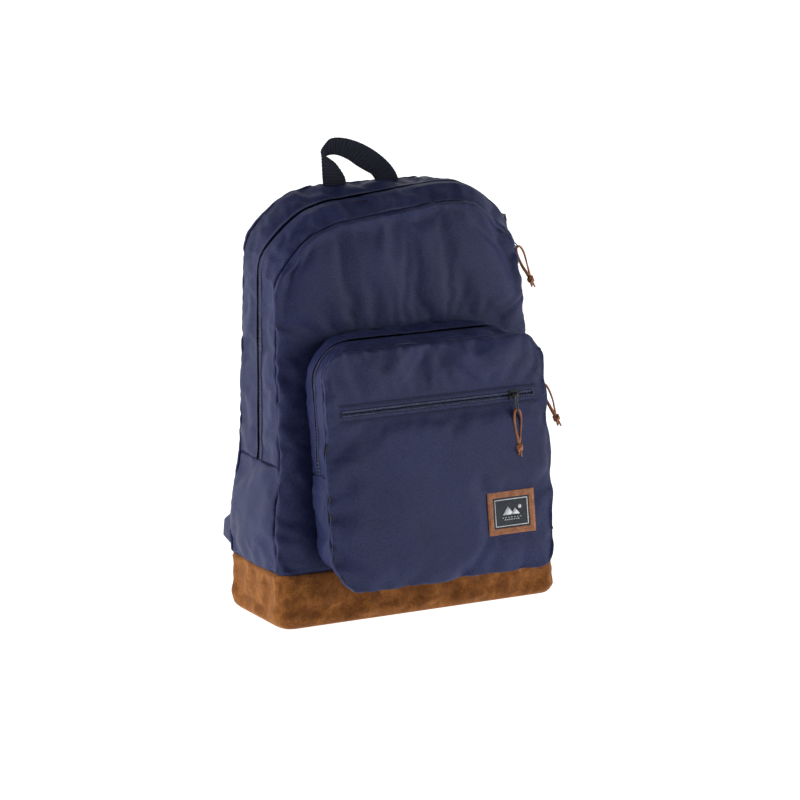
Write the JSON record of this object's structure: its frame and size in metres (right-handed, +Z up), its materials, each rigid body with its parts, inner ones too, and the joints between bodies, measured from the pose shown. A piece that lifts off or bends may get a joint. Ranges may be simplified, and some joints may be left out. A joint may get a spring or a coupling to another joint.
{
  "type": "school backpack",
  "caption": "Upright school backpack with an arched two-way zip, a zipped front pocket, a suede base, a webbing grab handle and padded shoulder straps.",
  "frame": {"origin": "on the floor under the base's underside, midway between its sides and midway between the back panel's face and the front panel's foot", "axes": "+Z up, the front faces -Y and the straps are towards +Y, +X is the wearer's right hand"},
  "size_m": [0.3357, 0.2153, 0.486],
  "materials": {
    "navy_cloth": "plain-weave polyester with a light sheen",
    "lining_cloth": "thin plain-weave polyester",
    "webbing": "ribbed woven webbing",
    "suede": "brushed nap suede",
    "veg_leather": "smooth vegetable-tanned leather",
    "zip_tape": "woven zip tape",
    "zip_coil": "nylon coil",
    "slider_enamel": "black enamelled zinc casting",
    "foam": "closed-cell foam sheet",
    "board": "polypropylene sheet",
    "acetal": "moulded acetal",
    "woven_label": "damask-woven label"
  },
  "bodies": {
    "bag": {"back_panel": "navy_cloth", "rear_gusset": "navy_cloth", "front_gusset_lower": "navy_cloth", "front_panel_lower": "navy_cloth", "side_panels": "navy_cloth", "suede_boot": "suede", "suede_bottom": "suede", "main_zip_tape": "zip_tape", "main_zip_coil": "zip_coil", "back_foam": "foam", "back_lining": "lining_cloth", "base_board": "board", "inner_sleeve": "lining_cloth", "sleeve_binding": "webbing", "pocket_gusset_rear": "navy_cloth", "pocket_gusset_lower": "navy_cloth", "pocket_face_lower": "navy_cloth", "pocket_zip_tape": "zip_tape", "pocket_zip_coil": "zip_coil", "leather_patch": "veg_leather", "woven_label": "woven_label", "strap_yoke": "navy_cloth", "anchor_tabs": "navy_cloth", "adjusting_webbing_left": "webbing", "adjusting_webbing_right": "webbing"},
    "mouth_flap": {"front_panel_upper": "navy_cloth", "front_gusset_upper": "navy_cloth", "main_zip_tape_flap": "zip_tape", "main_zip_coil_flap": "zip_coil"},
    "pocket_flap": {"pocket_face_upper": "navy_cloth", "pocket_face_middle": "navy_cloth", "pocket_gusset_front": "navy_cloth", "pocket_zip_tape_flap": "zip_tape", "pocket_zip_coil_flap": "zip_coil", "small_zip_tape": "zip_tape", "small_zip_coil": "zip_coil", "small_pocket_bag": "lining_cloth"},
    "handle": {"grab_handle": "webbing"},
    "strap_left": {"shoulder_strap_left": "navy_cloth", "buckle_loop_left": "webbing"},
    "buckle_left": {"ladder_buckle_left": "acetal"},
    "strap_right": {"shoulder_strap_right": "navy_cloth", "buckle_loop_right": "webbing"},
    "buckle_right": {"ladder_buckle_right": "acetal"},
    "main_slider_upper": {"main_slider_upper": "slider_enamel"},
    "main_pull_upper": {"main_puller_upper": "slider_enamel", "main_lace_upper": "veg_leather"},
    "main_slider_lower": {"main_slider_lower": "slider_enamel"},
    "main_pull_lower": {"main_puller_lower": "slider_enamel", "main_lace_lower": "veg_leather"},
    "pocket_slider_upper": {"pocket_slider_upper": "slider_enamel"},
    "pocket_pull_upper": {"pocket_puller_upper": "slider_enamel", "pocket_lace_upper": "veg_leather"},
    "pocket_slider_lower": {"pocket_slider_lower": "slider_enamel"},
    "pocket_pull_lower": {"pocket_puller_lower": "slider_enamel", "pocket_lace_lower": "veg_leather"},
    "small_slider": {"small_zip_slider": "slider_enamel"},
    "small_pull": {"small_zip_puller": "slider_enamel", "small_zip_lace": "veg_leather"}
  },
  "joints": [
    {"name": "main_mouth", "type": "hinge", "parent": "bag", "child": "mouth_flap", "pos_m": [0, -0.01949, 0.302], "axis": [1, 0, 0], "range_deg": [0, 40]},
    {"name": "pocket_mouth", "type": "hinge", "parent": "bag", "child": "pocket_flap", "pos_m": [0, -0.10596, 0.16791], "axis": [1, 0, 0], "range_deg": [0, 28]},
    {"name": "main_slide_upper", "type": "hinge", "parent": "bag", "child": "main_slider_upper", "pos_m": [0.08484, 0.02532, 0.38113], "axis": [0, -0.9978, 0.0663], "range_deg": [0, 74]},
    {"name": "main_slide_lower", "type": "slide", "parent": "bag", "child": "main_slider_lower", "axis": [0.0317, -0.0663, -0.9973], "range_m": [0, 0.201]},
    {"name": "pocket_slide_upper", "type": "hinge", "parent": "bag", "child": "pocket_slider_upper", "pos_m": [0.076, -0.05738, 0.25067], "axis": [0, -0.9893, 0.1458], "range_deg": [0, 28]},
    {"name": "pocket_slide_lower", "type": "slide", "parent": "bag", "child": "pocket_slider_lower", "axis": [0, -0.1458, -0.9893], "range_m": [0, 0.062]},
    {"name": "small_slide", "type": "slide", "parent": "pocket_flap", "child": "small_slider", "axis": [-1, 0, 0], "range_m": [0, 0.174]},
    {"name": "small_pull_swing", "type": "hinge", "parent": "small_slider", "child": "small_pull", "pos_m": [0.089, -0.10237, 0.23208], "axis": [-1, 0, 0], "range_deg": [0, 90]},
    {"name": "handle_fold", "type": "hinge", "parent": "bag", "child": "handle", "pos_m": [0, 0.057, 0.4436], "axis": [1, 0, 0], "range_deg": [-80, 80], "stiffness_Nm_per_rad": 0.05},
    {"name": "main_pull_upper_swing", "type": "hinge", "parent": "main_slider_upper", "child": "main_pull_upper", "pos_m": [0.14719, 0.02619, 0.39415], "axis": [0, -0.9978, 0.0663], "range_deg": [0, 120]},
    {"name": "main_pull_lower_swing", "type": "hinge", "parent": "main_slider_lower", "child": "main_pull_lower", "pos_m": [0.14875, 0.02496, 0.37564], "axis": [0, -0.9978, 0.0663], "range_deg": [-18, 70]},
    {"name": "pocket_pull_upper_swing", "type": "hinge", "parent": "pocket_slider_upper", "child": "pocket_pull_upper", "pos_m": [0.1257, -0.05738, 0.25067], "axis": [0, -0.9893, 0.1458], "range_deg": [0, 75]},
    {"name": "pocket_pull_lower_swing", "type": "hinge", "parent": "pocket_slider_lower", "child": "pocket_pull_lower", "pos_m": [0.1257, -0.06, 0.23287], "axis": [0, -0.9893, 0.1458], "range_deg": [-20, 20]},
    {"name": "strap_swing_left", "type": "hinge", "parent": "bag", "child": "strap_left", "pos_m": [0, 0.0664, 0.404], "axis": [1, 0, 0], "range_deg": [0, 35], "deforming": ["adjusting_webbing_left"]},
    {"name": "buckle_tilt_left", "type": "hinge", "parent": "strap_left", "child": "buckle_left", "pos_m": [-0.097, 0.08763, 0.1649], "axis": [1, 0, 0], "range_deg": [-20, 45]},
    {"name": "strap_swing_right", "type": "hinge", "parent": "bag", "child": "strap_right", "pos_m": [0, 0.0664, 0.404], "axis": [1, 0, 0], "range_deg": [0, 35], "deforming": ["adjusting_webbing_right"]},
    {"name": "buckle_tilt_right", "type": "hinge", "parent": "strap_right", "child": "buckle_right", "pos_m": [0.097, 0.08763, 0.1649], "axis": [1, 0, 0], "range_deg": [-20, 45]}
  ]
}
